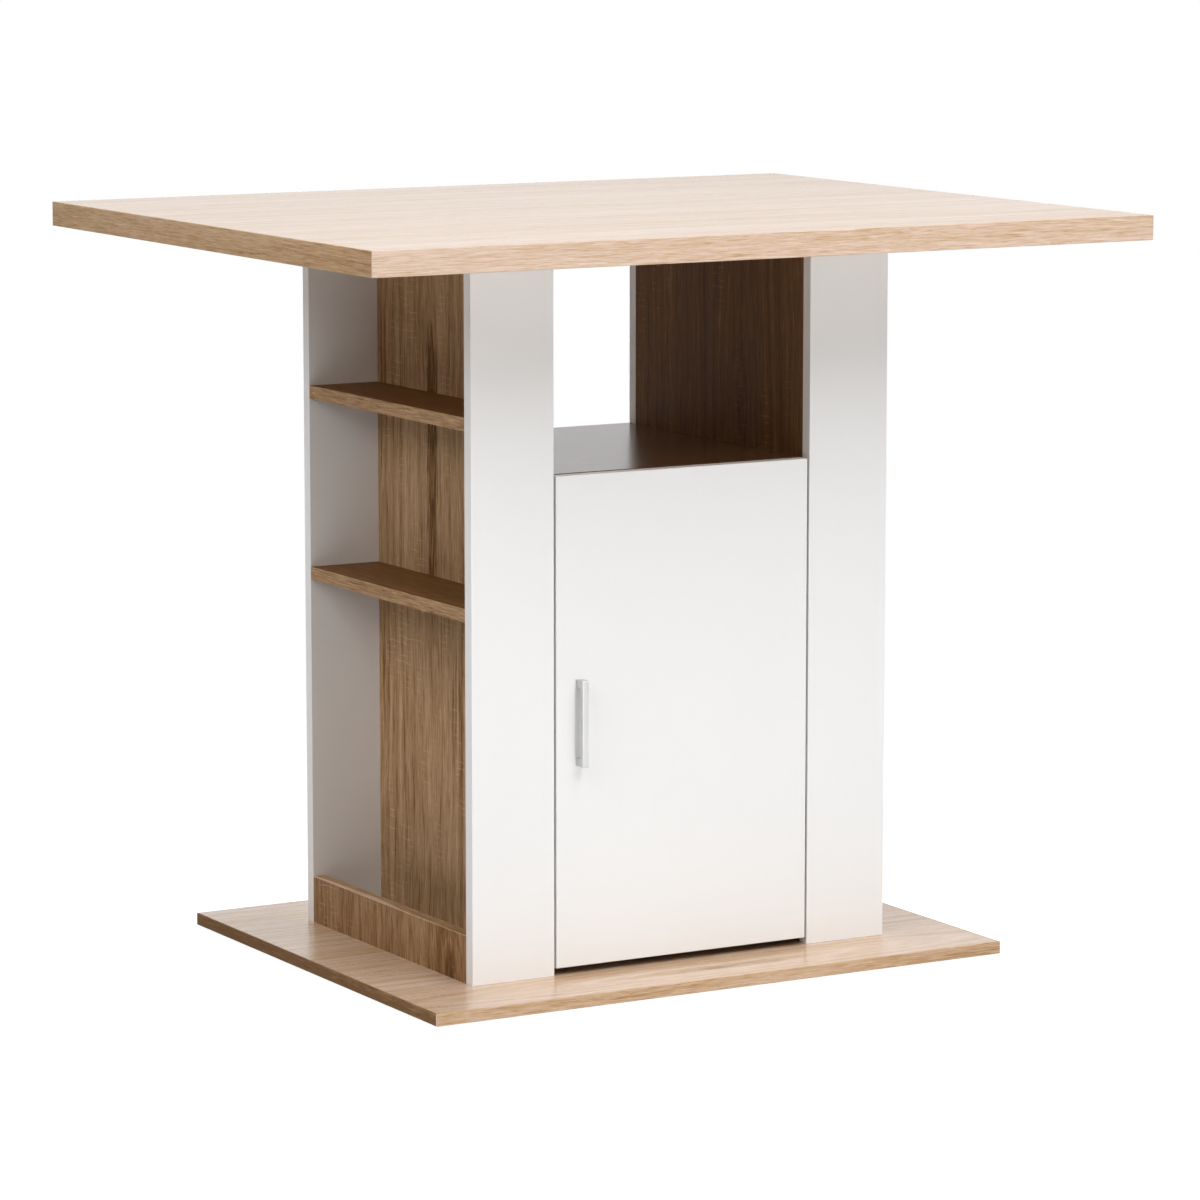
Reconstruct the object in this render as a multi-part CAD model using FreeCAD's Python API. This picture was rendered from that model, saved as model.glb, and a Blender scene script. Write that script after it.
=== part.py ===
import FreeCAD, Part
import math
import os

# Kitchen island: worktop on two open shelf columns, with a niche and a door cabinet between them.
# Millimetres. X runs along the front to the right, Y from the front to the back, Z up.
# The origin is on the floor under the middle of the worktop.

# Worktop
top_length = 1060.0
top_depth = 870.0
top_thickness = 30.0
top_band_thickness = 2.0

# Base plate and its glides
base_length = 790.0
base_depth = 648.0
base_thickness = 15.0
base_band_thickness = 2.0
band_rounding = 1.0
glide_diameter = 24.0
glide_thickness = 3.0
glide_projection = 1.0
glide_inset = 45.0

# Columns
board = 16.0
carcass_width = 580.0
carcass_depth = 436.0
carcass_height = 871.0
panel_width = 111.5
edge_softening = 0.6

# Levels above the floor
upper_shelf_level = 695.0
lower_shelf_level = 468.0
niche_floor_level = 620.0
cabinet_shelf_level = 320.0
plinth_height = 59.0

# Shelves and plinths
shelf_band_thickness = 1.0
cabinet_shelf_clearance = 1.0
cabinet_shelf_setback = 30.0

# Door
door_side_gap = 3.0
door_bottom_gap = 9.0
door_back_gap = 6.5

# Bow handle
handle_length = 105.0
handle_width = 8.5
handle_projection = 15.0
handle_bar_depth = 5.0
handle_leg_height = 10.0
handle_inset = 27.5
handle_centre_level = 322.0
handle_rounding = 1.2

# Concealed hinges: cup in the door, swan neck fixed to the right divider
hinge_end_distance = 95.0
cup_diameter = 35.0
cup_depth = 12.5
cup_wall = 1.5
cup_floor = 1.0
cup_edge_distance = 5.0
cup_clearance = 0.1
flange_thickness = 1.2
flange_rim = 2.0
flange_ear_width = 16.0
flange_ear_height = 58.0
flange_screw_spacing = 48.0
pin_diameter = 3.0
pin_inset = 11.0
pin_depth = 7.5
pin_clearance = 0.05
eye_wall = 1.2
neck_thickness = 2.5
neck_width = 10.0
neck_reach = 22.5
neck_rise = 18.5
arm_length = 69.0
plate_thickness = 4.0
plate_start = 10.0
plate_length = 60.0
plate_width = 18.0
wing_start = 8.0
wing_length = 16.0
wing_width = 48.0
wing_screw_spacing = 32.0
arm_screw_end_distance = 14.0

# Magnetic catch under the niche floor
catch_length = 44.0
catch_depth = 18.0
catch_height = 13.0
catch_edge_distance = 70.0
catch_gap = 0.3
magnet_length = 22.0
magnet_depth = 9.0
magnet_height = 7.0
strike_length = 34.0
strike_height = 14.0
strike_thickness = 1.5
catch_screw_spacing = 33.0

# Dowels
dowel_diameter = 8.0
dowel_length = 30.0
dowel_in_face = 12.0
dowel_clearance = 0.1
dowel_end_clearance = 1.0

# Cam fittings
cam_diameter = 15.0
cam_depth = 12.0
cam_setback = 34.0
cam_clearance = 0.1
cam_channel = 7.6
bolt_thread_diameter = 6.0
bolt_thread_length = 10.0
bolt_shank_diameter = 4.6
bolt_head_diameter = 6.8
bolt_head_length = 3.0

# Screws
base_screw_diameter = 6.4
base_screw_length = 50.0
base_screw_head_diameter = 10.0
base_screw_head_height = 3.5
small_screw_diameter = 3.5
small_screw_head_diameter = 7.0
small_screw_head_height = 1.8
cup_screw_length = 11.0
plate_screw_diameter = 5.0
plate_screw_length = 16.0
plate_screw_head_diameter = 9.0
arm_screw_diameter = 4.0
catch_screw_length = 11.0
strike_screw_length = 11.0
handle_screw_diameter = 4.0
handle_screw_grip = 9.0
handle_screw_head_diameter = 8.5
handle_screw_head_height = 2.4
screw_clearance = 0.1

# Shelf supports
support_pin_diameter = 5.0
support_pin_depth = 9.0
support_tab = 9.0
support_tab_thickness = 3.0

# Places along a board, as shares of its length
pair_shares = (0.25, 0.75)
plinth_dowel_shares = (0.3, 0.7)
column_dowel_shares = (0.075, 0.35, 0.63, 0.86)
column_cam_shares = (0.21, 0.49)
back_dowel_shares = (0.22, 0.82)
divider_screw_shares = (0.25, 0.75)
niche_cam_shares = (0.2, 0.8)
middle_share = 0.5
glide_row_shares = (0.0, 0.5, 1.0)

point = FreeCAD.Vector
along_x, along_y, along_z = point(1, 0, 0), point(0, 1, 0), point(0, 0, 1)
sides = ((-1, "left"), (1, "right"))
ends = ((-1, "front"), (1, "rear"))

# Faces and levels that several pieces share
base_top = glide_projection + base_thickness
top_underside = base_top + carcass_height
front = -carcass_depth / 2
rear = carcass_depth / 2
column_edge = carcass_width / 2
divider_inner = column_edge - panel_width
divider_outer = divider_inner + board
divider_middle = divider_inner + board / 2
bay_half_length = rear - board
niche_floor_underside = niche_floor_level - board
door_back = front + board
door_edge = divider_inner - door_side_gap
door_bottom = base_top + door_bottom_gap
niche_floor_front = door_back + door_back_gap
pin_x = door_edge - pin_inset
pin_y = front + pin_depth
hinge_levels = (("lower", door_bottom + hinge_end_distance),
                ("upper", niche_floor_level - hinge_end_distance))

solids = {}
cutters = {}


def block(xs, ys, zs):
    """Rectangular solid between two values on each axis, given in either order."""
    low = point(min(xs), min(ys), min(zs))
    size = point(max(xs), max(ys), max(zs)) - low
    return Part.makeBox(size.x, size.y, size.z, low)


def rod(diameter, start, end):
    """Round bar between two points."""
    line = end - start
    return Part.makeCylinder(diameter / 2, line.Length, start, line)


def about(middle, width):
    """The two values half a width to each side of a middle."""
    return middle - width / 2, middle + width / 2


def at_shares(low, high, shares):
    """Places between two values."""
    return [low + (high - low) * share for share in shares]


def join(shapes):
    """One solid from pieces that meet."""
    return shapes[0].fuse(shapes[1:]).removeSplitter()


def add(name, solid):
    """Add a solid to the named piece or group of like pieces."""
    solids.setdefault(name, []).append(solid)


def bore(cutter, *names):
    """Note a hole that the named boards get."""
    for name in names:
        cutters.setdefault(name, []).append(cutter)


def face_edges(solid, axis, value, directions):
    """Straight edges in the plane where an axis has a value, running along the given directions."""
    found = []
    for edge in solid.Edges:
        first, last = (vertex.Point for vertex in edge.Vertexes)
        in_plane = abs(first.dot(axis) - value) + abs(last.dot(axis) - value) < Part.Precision.confusion()
        line = (last - first).normalize()
        if in_plane and any(round(line.dot(way)) for way in directions):
            found.append(edge)
    return found


def soften(solid, axis, value, directions, radius):
    """Round the edges of one flat face."""
    return solid.makeFillet(radius, face_edges(solid, axis, value, directions))


def banded_slab(name, length, depth, zs, band):
    """A board with a band on each edge; the front and rear bands cover the ends of the side bands."""
    add(name, block(about(0, length - band * 2), about(0, depth - band * 2), zs))
    stem = name.split("_")[0]
    for way, end in ends:
        outer = way * depth / 2
        strip = block(about(0, length), (outer, outer - way * band), zs)
        add(f"{stem}_{end}_band", soften(strip, along_y, outer, (along_x, along_z), band_rounding))
    for way, side in sides:
        outer = way * length / 2
        strip = block((outer, outer - way * band), about(0, depth - band * 2), zs)
        add(f"{stem}_{side}_band", soften(strip, along_x, outer, (along_y,), band_rounding))


def dowel(face, into_edge, face_board, edge_board):
    """A dowel that starts inside a board's face and runs on into the edge of the next board."""
    start = face - into_edge * dowel_in_face
    end = start + into_edge * dowel_length
    slack = into_edge * dowel_end_clearance
    add("dowels", rod(dowel_diameter, start, end))
    bore(rod(dowel_diameter + dowel_clearance * 2, start - slack, end + slack), face_board, edge_board)


def cam_joint(face, into_edge, drilled_from, face_board, edge_board):
    """A bolt from a board's face into the edge of the next board, held there by a cam.

    drilled_from points from the cam's open face into its board; the bolt lies mid-board.
    """
    thread_end = face - into_edge * bolt_thread_length
    middle = face + into_edge * cam_setback
    head_start = middle - into_edge * bolt_head_length
    bolt = [rod(bolt_thread_diameter, thread_end, face), rod(bolt_shank_diameter, face, head_start),
            rod(bolt_head_diameter, head_start, middle)]
    add("cam_bolts", join(bolt))
    bore(rod(bolt_thread_diameter + cam_clearance * 2, thread_end, face), face_board)
    bore(rod(cam_channel, face, middle), edge_board)
    opening = middle - drilled_from * board / 2
    seat = opening + drilled_from * cam_depth
    cam = rod(cam_diameter, opening, seat).cut(rod(cam_channel, face, middle + into_edge * bolt_head_length))
    add("cam_housings", cam)
    bore(rod(cam_diameter + cam_clearance * 2, opening, seat), edge_board)


def screw(name, seat, into, diameter, length, head_diameter, head_height, *boards):
    """A round-headed screw whose head rests on a seat; length is measured under the head."""
    tip = seat + into * length
    add(name, join([rod(head_diameter, seat - into * head_height, seat), rod(diameter, seat, tip)]))
    bore(rod(diameter + screw_clearance * 2, seat, tip), *boards)


def make_worktop():
    banded_slab("tabletop_board", top_length, top_depth, (top_underside, top_underside + top_thickness),
                top_band_thickness)


def make_base():
    banded_slab("base_board", base_length, base_depth, (glide_projection, base_top), base_band_thickness)
    for x in at_shares(glide_inset - base_length / 2, base_length / 2 - glide_inset, glide_row_shares):
        for way, _ in ends:
            foot = point(x, way * (base_depth / 2 - glide_inset), 0)
            glide = rod(glide_diameter, foot, foot + along_z * glide_thickness)
            add("floor_glides", glide)
            bore(glide, "base_board")


def make_columns():
    """White uprights at the four corners and an oak divider on the inner side of each column."""
    zs = (base_top, top_underside)
    for side, side_name in sides:
        for way, end_name in ends:
            outer = way * carcass_depth / 2
            panel = block((side * divider_inner, side * column_edge), (outer, outer - way * board), zs)
            panel = soften(panel, along_y, outer, (along_x, along_z), edge_softening)
            add(f"{end_name}_{side_name}_panel", panel)
        add(f"{side_name}_divider",
            block((side * divider_inner, side * divider_outer), (-bay_half_length, bay_half_length), zs))
        join_column(side, side_name)


def join_column(side, side_name):
    """Dowels, cams and screws between a column's boards, the worktop and the base plate."""
    divider = f"{side_name}_divider"
    x = side * divider_middle
    across = at_shares(divider_inner, column_edge, pair_shares)
    for way, end_name in ends:
        panel = f"{end_name}_{side_name}_panel"
        inner = way * bay_half_length
        for z in at_shares(base_top, top_underside, column_dowel_shares):
            dowel(point(x, inner, z), along_y * -way, panel, divider)
        for z in at_shares(base_top, top_underside, column_cam_shares):
            cam_joint(point(x, inner, z), along_y * -way, along_x * side, panel, divider)
        y = way * (rear - board / 2)
        for place in across:
            dowel(point(side * place, y, top_underside), -along_z, "tabletop_board", panel)
            add_base_screw(point(side * place, y, glide_projection), panel)
    for y in at_shares(-bay_half_length, bay_half_length, divider_screw_shares):
        add_base_screw(point(x, y, glide_projection), divider)
        cam_joint(point(x, y, top_underside), -along_z, along_x * -side, "tabletop_board", divider)


def add_base_screw(underside, upright):
    """A screw let into the underside of the base plate that holds an upright."""
    seat = underside + along_z * base_screw_head_height
    screw("base_screws", seat, along_z, base_screw_diameter, base_screw_length, base_screw_head_diameter,
          base_screw_head_height, "base_board", upright)
    bore(rod(base_screw_head_diameter + screw_clearance * 2, underside, seat), "base_board")


def make_bays():
    """Two shelves and a plinth in each column, held by dowels in the uprights."""
    ys = (-bay_half_length, bay_half_length)
    for side, side_name in sides:
        panels = [(way, f"{end_name}_{side_name}_panel") for way, end_name in ends]
        edge = side * column_edge
        band = edge - side * shelf_band_thickness
        for level_name, level in (("upper", upper_shelf_level), ("lower", lower_shelf_level)):
            shelf = f"{side_name}_{level_name}_shelf"
            zs = (level - board, level)
            add(shelf, block((side * divider_outer, band), ys, zs))
            add("shelf_edge_bands", block((band, edge), ys, zs))
            for x in at_shares(side * divider_outer, edge, pair_shares):
                for way, panel in panels:
                    dowel(point(x, way * bay_half_length, level - board / 2), along_y * -way, panel, shelf)
        plinth = f"{side_name}_plinth"
        plinth_top = base_top + plinth_height
        add(plinth, block((edge - side * board, edge), ys, (base_top, plinth_top - shelf_band_thickness)))
        add("plinth_edge_bands",
            block((edge - side * board, edge), ys, (plinth_top - shelf_band_thickness, plinth_top)))
        for z in at_shares(base_top, plinth_top, plinth_dowel_shares):
            for way, panel in panels:
                start = point(edge - side * board / 2, way * bay_half_length, z)
                dowel(start, along_y * -way, panel, plinth)


def make_cabinet():
    """Niche floor, back and loose shelf between the two dividers."""
    add("niche_floor", block((-divider_inner, divider_inner), (niche_floor_front, rear),
                             (niche_floor_underside, niche_floor_level)))
    back = block((-divider_inner, divider_inner), (bay_half_length, rear), (base_top, niche_floor_underside))
    add("back_panel", back)
    shelf_underside = cabinet_shelf_level - board
    shelf_edge = divider_inner - cabinet_shelf_clearance
    shelf_front = niche_floor_front + cabinet_shelf_setback
    shelf_rear = bay_half_length - cabinet_shelf_clearance
    add("cabinet_shelf", block((-shelf_edge, shelf_edge), (shelf_front, shelf_rear),
                               (shelf_underside, cabinet_shelf_level)))
    for side, side_name in sides:
        divider = f"{side_name}_divider"
        inward = along_x * -side
        wall = side * divider_inner
        for y in at_shares(niche_floor_front, bay_half_length, niche_cam_shares):
            cam_joint(point(wall, y, niche_floor_level - board / 2), inward, along_z, divider, "niche_floor")
        for y in at_shares(niche_floor_front, bay_half_length, (middle_share,)):
            dowel(point(wall, y, niche_floor_level - board / 2), inward, divider, "niche_floor")
        for z in at_shares(base_top, niche_floor_underside, back_dowel_shares):
            dowel(point(wall, rear - board / 2, z), inward, f"rear_{side_name}_panel", "back_panel")
        for y in at_shares(shelf_front, shelf_rear, pair_shares):
            add_shelf_support(side, divider, y, shelf_underside)


def add_shelf_support(side, divider, y, level):
    """A peg in the divider with a flat tab under the loose shelf."""
    middle = level - support_tab_thickness / 2
    wall = point(side * divider_inner, y, middle)
    peg_end = wall + along_x * side * support_pin_depth
    tab = block((wall.x, wall.x - side * support_tab), about(y, support_tab),
                about(middle, support_tab_thickness))
    add("cabinet_shelf_supports", join([rod(support_pin_diameter, wall, peg_end), tab]))
    bore(rod(support_pin_diameter + screw_clearance * 2, wall, peg_end), divider)


def make_door():
    """Door between the front uprights, its top level with the niche floor, and its bow handle."""
    door = block((-door_edge, door_edge), (front, door_back), (door_bottom, niche_floor_level))
    add("door", soften(door, along_y, front, (along_x, along_z), edge_softening))
    xs = (handle_inset - door_edge, handle_inset - door_edge + handle_width)
    zs = about(handle_centre_level, handle_length)
    tip = front - handle_projection
    bow = block(xs, (tip, front), zs)
    bow = bow.cut(block(xs, (tip + handle_bar_depth, front),
                        about(handle_centre_level, handle_length - handle_leg_height * 2)))
    add("handle", soften(bow, along_y, tip, (along_x, along_z), handle_rounding))
    for z in about(handle_centre_level, handle_length - handle_leg_height):
        screw("handle_screws", point(sum(xs) / 2, door_back, z), -along_y, handle_screw_diameter,
              board + handle_screw_grip, handle_screw_head_diameter, handle_screw_head_height,
              "door", "handle")


def make_hinges():
    for name, level in hinge_levels:
        make_cup(name, level)
        make_swan_neck(name, level)


def make_cup(name, level):
    """Cup let into the door's back, with a flange, two screws and the hinge pin across it."""
    centre = point(door_edge - cup_edge_distance - cup_diameter / 2, door_back, level)
    inner = cup_diameter - cup_wall * 2
    floor = centre - along_y * cup_depth
    rim = centre + along_y * flange_thickness
    ears = block(about(centre.x, flange_ear_width), (centre.y, rim.y), about(level, flange_ear_height))
    shell = join([rod(cup_diameter, floor, rim), rod(cup_diameter + flange_rim * 2, centre, rim), ears])
    shell = shell.cut(rod(inner, floor + along_y * cup_floor, rim))
    pin_side = pin_x - centre.x + pin_diameter / 2
    half_pin = along_z * (math.sqrt((cup_diameter / 2) ** 2 - pin_side ** 2) - cup_clearance)
    axle = point(pin_x, pin_y, level)
    pin_hole = rod(pin_diameter + pin_clearance * 2, axle - half_pin, axle + half_pin)
    cup = f"{name}_hinge_cup"
    add(cup, shell.cut(pin_hole))
    add(f"{name}_hinge_pin", rod(pin_diameter, axle - half_pin, axle + half_pin))
    bore(rod(cup_diameter + cup_clearance * 2, floor, centre), "door")
    for z in about(level, flange_screw_spacing):
        screw("hinge_cup_screws", point(centre.x, rim.y, z), -along_y, small_screw_diameter,
              cup_screw_length, small_screw_head_diameter, small_screw_head_height, cup, "door")


def make_swan_neck(name, level):
    """Steel neck from the pin out of the cup, round the door's edge to an arm on its plate."""
    zs = about(level, neck_width)
    plate_face = divider_inner - plate_thickness
    arm_x = plate_face - neck_thickness / 2
    turn_x = pin_x - neck_reach
    run_y = pin_y + neck_rise
    arm_end = run_y + arm_length
    thick = neck_thickness
    eye_diameter = pin_diameter + (pin_clearance + eye_wall) * 2
    bars = [block((turn_x, pin_x), about(pin_y, thick), zs),
            block(about(turn_x, thick), (pin_y, run_y), zs),
            block((turn_x, arm_x), about(run_y, thick), zs),
            block(about(arm_x, thick), (run_y, arm_end), zs)]
    bends = [(eye_diameter, pin_x, pin_y), (thick, turn_x, pin_y), (thick, turn_x, run_y),
             (thick, arm_x, run_y)]
    for diameter, x, y in bends:
        bars.append(rod(diameter, point(x, y, min(zs)), point(x, y, max(zs))))
    eye = rod(pin_diameter + pin_clearance * 2, point(pin_x, pin_y, min(zs)), point(pin_x, pin_y, max(zs)))
    arm = f"{name}_hinge_arm"
    add(arm, join(bars).cut(eye))
    plate = f"{name}_hinge_plate"
    start = run_y + plate_start
    xs = (plate_face, divider_inner)
    wings = (start + wing_start, start + wing_start + wing_length)
    add(plate, join([block(xs, (start, start + plate_length), about(level, plate_width)),
                     block(xs, wings, about(level, wing_width))]))
    for z in about(level, wing_screw_spacing):
        screw("hinge_plate_screws", point(plate_face, sum(wings) / 2, z), along_x, plate_screw_diameter,
              plate_screw_length, plate_screw_head_diameter, small_screw_head_height, plate, "right_divider")
    screw("hinge_arm_screws", point(plate_face - thick, arm_end - arm_screw_end_distance, level), along_x,
          arm_screw_diameter, thick + plate_thickness, small_screw_head_diameter, small_screw_head_height,
          arm, plate)


def make_catch():
    """Magnet in a housing under the niche floor, and its steel strike plate on the door."""
    middle = catch_edge_distance - door_edge
    strike_face = door_back + strike_thickness
    housing_face = strike_face + catch_gap
    zs = (niche_floor_underside - catch_height, niche_floor_underside)
    centre_z = niche_floor_underside - catch_height / 2
    magnet = block(about(middle, magnet_length), (housing_face, housing_face + magnet_depth),
                   about(centre_z, magnet_height))
    ys = (housing_face, housing_face + catch_depth)
    add("catch_housing", block(about(middle, catch_length), ys, zs).cut(magnet))
    add("catch_magnet", magnet)
    for x in about(middle, catch_screw_spacing):
        seat = point(x, (niche_floor_front + max(ys)) / 2, min(zs))
        screw("catch_screws", seat, along_z, small_screw_diameter, catch_height + catch_screw_length,
              small_screw_head_diameter, small_screw_head_height, "catch_housing", "niche_floor")
    plate = block(about(middle, strike_length), (door_back, strike_face), about(centre_z, strike_height))
    add("catch_strike_plate", plate)
    outside = point(middle, strike_face, centre_z)
    seat = point(middle, door_back, centre_z)
    tip = seat - along_y * strike_screw_length
    head = Part.makeCone(small_screw_head_diameter / 2, small_screw_diameter / 2, strike_thickness, outside,
                         -along_y)
    add("catch_strike_screw", join([head, rod(small_screw_diameter, seat, tip)]))
    bore(head, "catch_strike_plate")
    bore(rod(small_screw_diameter + screw_clearance * 2, seat, tip), "door")


def write_pieces():
    """Cut the noted holes and write one file for each piece or group."""
    os.makedirs("parts", exist_ok=True)
    for name, group in solids.items():
        if name in cutters:
            group = [solid.cut(cutters[name]) for solid in group]
        shape = group[0] if len(group) == 1 else Part.makeCompound(group)
        shape.exportStep(f"parts/{name}.step")


make_worktop()
make_base()
make_columns()
make_bays()
make_cabinet()
make_door()
make_hinges()
make_catch()
write_pieces()
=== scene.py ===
import math

import bmesh
import bpy
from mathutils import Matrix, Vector


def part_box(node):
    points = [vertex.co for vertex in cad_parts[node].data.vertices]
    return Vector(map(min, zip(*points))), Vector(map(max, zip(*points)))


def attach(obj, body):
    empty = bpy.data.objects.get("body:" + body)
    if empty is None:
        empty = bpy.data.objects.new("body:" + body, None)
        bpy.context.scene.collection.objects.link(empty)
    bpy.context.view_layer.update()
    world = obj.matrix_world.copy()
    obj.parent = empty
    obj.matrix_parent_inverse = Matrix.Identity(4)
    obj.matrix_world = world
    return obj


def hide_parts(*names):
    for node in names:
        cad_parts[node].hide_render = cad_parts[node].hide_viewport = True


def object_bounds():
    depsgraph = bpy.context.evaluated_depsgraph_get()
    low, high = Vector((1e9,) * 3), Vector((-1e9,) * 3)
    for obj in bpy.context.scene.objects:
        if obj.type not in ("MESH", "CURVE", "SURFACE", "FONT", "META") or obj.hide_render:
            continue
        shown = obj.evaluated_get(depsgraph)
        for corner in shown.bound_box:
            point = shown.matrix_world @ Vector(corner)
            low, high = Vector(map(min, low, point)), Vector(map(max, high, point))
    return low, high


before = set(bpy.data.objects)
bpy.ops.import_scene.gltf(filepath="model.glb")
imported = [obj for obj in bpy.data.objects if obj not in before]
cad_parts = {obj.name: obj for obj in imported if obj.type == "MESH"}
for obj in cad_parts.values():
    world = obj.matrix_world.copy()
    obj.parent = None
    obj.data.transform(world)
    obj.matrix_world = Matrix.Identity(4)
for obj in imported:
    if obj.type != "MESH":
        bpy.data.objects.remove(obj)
cad_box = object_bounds()

bl_info = {
    "name": "Kitchen island finishes",
    "version": (1, 0, 0),
    "blender": (4, 5, 0),
    "location": "View3D > Sidebar > Island",
    "description": "Oak decor, white melamine and metal finishes for a kitchen island, with a white studio",
    "category": "Material",
}

# How a board's own directions turn so that its grain runs along the pattern's first axis
GRAIN_TURN = {
    "X": (0.0, 0.0, 0.0),
    "Y": (0.0, 0.0, math.radians(-90)),
    "Z": (0.0, math.radians(90), 0.0),
}

# Marks of the finishes: length along the grain and width across it in metres, the noise's detail and
# roughness, and for marks that fade in, the noise values at which they start and are full
MARKS = {
    "oak_bend": (0.30, 0.10, 1.0, 0.5),
    "oak_wave": (0.06, 0.02, 1.0, 0.5),
    "oak_cloud": (0.60, 0.045, 2.0, 0.5),
    "oak_streak": (0.20, 0.007, 3.0, 0.65, 0.50, 0.75),
    "oak_fibre": (0.036, 0.0022, 3.0, 0.65),
    "oak_pore": (0.014, 0.0008, 1.0, 0.5, 0.58, 0.72),
    "saw_patch": (0.16, 0.040, 1.0, 0.5, 0.48, 0.62),
    "saw_dash": (0.0060, 0.022, 1.0, 0.5, 0.46, 0.56),
    "saw_wobble": (0.05, 0.02, 1.0, 0.5),
    "melamine_cloud": (0.30, 0.30, 2.0, 0.5),
    "melamine_pearl": (0.0012, 0.0012, 2.0, 0.6),
    "metal_line": (0.06, 0.0006, 3.0, 0.6),
    "metal_cloud": (0.03, 0.02, 2.0, 0.5),
    "plastic_grain": (0.0008, 0.0008, 2.0, 0.6),
    "plastic_cloud": (0.02, 0.02, 2.0, 0.5),
}

# The value about which noise swings
NOISE_MIDDLE = 0.5

# How far the grain wanders sideways, in metres
OAK_BEND = 0.030
OAK_WAVE = 0.004

# Width of the marks on edge bands, as a share of that on boards
BAND_FINE = 0.65

# Darkness of oak: plain wood, what clouds and pores add, the darkness of the darkest tone, and the shares
# of it at which the four tones stand
PLAIN_OAK = 0.45
CLOUD_DARKENS = 0.55
PORE_DARKENS = 0.16
DARKEST_OAK = 1.5
TONE_STOPS = (0.067, 0.367, 0.667, 1.0)

# How fibres and pores change the roughness of oak, and how its marks share in the relief
FIBRE_ROUGHENS = 0.10
PORE_ROUGHENS = 0.05
FIBRE_HEIGHT = 0.5
PORE_DEPTH = 0.5
SAW_HEIGHT = 0.2

# Shares of the saw mark spacing over which a mark starts and fades
SAW_START = (0.0, 0.10)
SAW_FADE = (0.14, 0.30)

# The dark spear along the heart: its radius in metres, its solid part and the fibre noise that frays it
SPEAR_RADIUS = (0.004, 0.019)
SPEAR_SOLID = 0.3
SPEAR_FRAY = (0.40, 0.65)

# Where a board turns paler past a plane: by how much, and over which distance in metres. On the right divider
# this lifts the bay side out of the painted shade of its niche side
PALER_BY = 0.4
PALER_OVER = 0.0003

# Widths of the pale lines at the corners of edge bands, in metres
CORNER_LINE = 0.0006
PLINTH_CORNER_LINE = 0.0008

# How fine marks change the roughness of melamine, metal and plastic
PEARL_ROUGHENS = 0.2
SHINE_ROUGHENS = 0.25
GRAIN_ROUGHENS = 0.2

# Refraction of boards that are wiped clean, of the other printed boards and of melamine
WIPED_IOR = 1.85
PRINTED_IOR = 1.15
MELAMINE_IOR = 1.5

# Screw heads: the angles up to which edges are shaded smooth or dissolved, and from which they are rounded
SMOOTH_ANGLE = math.radians(35)
FLAT_ANGLE = math.radians(1)
ROUNDED_ANGLE = math.radians(60)
ROUNDING_STEPS = 3

# Distance within which the corners of a copied CAD mesh are merged, in metres
MERGE_DISTANCE = 0.000001

# The driver's tip: its size at the bottom as a share of that at the top, and how near to its place a face is
# found, as a share of an arm's width
TIP_TAPER = 0.5
FACE_FOUND_WITHIN = 0.1

# Screws whose heads can be seen: the way a head looks out, and the body that carries it
SCREW_HEADS = {
    "hinge_cup_screws": ((0.0, 1.0, 0.0), "door"),
    "handle_screws": ((0.0, 1.0, 0.0), "door"),
    "catch_strike_screw": ((0.0, 1.0, 0.0), "door"),
    "hinge_plate_screws": ((-1.0, 0.0, 0.0), "carcass"),
    "hinge_arm_screws": ((-1.0, 0.0, 0.0), "carcass"),
    "catch_screws": ((0.0, 0.0, -1.0), "carcass"),
}

# Softboxes of the studio, as their settings are named
SOFTBOXES = ("front", "top", "side", "rear", "right", "back")

# The floor's side in metres, the grey and the glow that the camera sees, and the distances from the middle at
# which it starts to fade to white and is white
FLOOR_SIDE = 60.0
FLOOR_GREY = (0.5, 0.5, 0.5, 1.0)
FLOOR_GLOW = 0.82
FLOOR_FADE = (0.8, 2.0)
WHITE = (1.0, 1.0, 1.0, 1.0)

# The camera's sensor in millimetres, and how far it sees in metres
SENSOR_WIDTH = 36.0
VIEW_LIMIT = 200.0


class Value:
    """A socket of a finish; sums on it become Math nodes."""

    def __init__(self, finish, socket):
        self.finish = finish
        self.socket = socket

    def calculate(self, operation, first, second=0.0):
        """Add a Math node."""
        return self.finish.node("ShaderNodeMath", {"operation": operation}, {0: first, 1: second})

    def __add__(self, other):
        return self.calculate("ADD", self, other)

    def __radd__(self, other):
        return self.calculate("ADD", other, self)

    def __sub__(self, other):
        return self.calculate("SUBTRACT", self, other)

    def __rsub__(self, other):
        return self.calculate("SUBTRACT", other, self)

    def __mul__(self, other):
        return self.calculate("MULTIPLY", self, other)

    def __rmul__(self, other):
        return self.calculate("MULTIPLY", other, self)

    def __truediv__(self, other):
        return self.calculate("DIVIDE", self, other)

    def __rtruediv__(self, other):
        return self.calculate("DIVIDE", other, self)

    def largest(self, other):
        return self.calculate("MAXIMUM", self, other)

    def smallest(self, other):
        return self.calculate("MINIMUM", self, other)

    def size(self):
        return self.calculate("ABSOLUTE", self)

    def root(self):
        return self.calculate("SQRT", self)

    def part(self):
        return self.calculate("FRACT", self)

    def swing(self):
        """How far noise is above or below its middle."""
        return self - NOISE_MIDDLE

    def mixed(self, other, share):
        """A share of this value and the rest of another."""
        return self * share + other * (1.0 - share)

    def rise(self, low, high):
        """0 below low, 1 above high, and a soft step between."""
        return self.finish.node("ShaderNodeMapRange", {"interpolation_type": "SMOOTHSTEP"},
                                {"Value": self, "From Min": low, "From Max": high})


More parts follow.
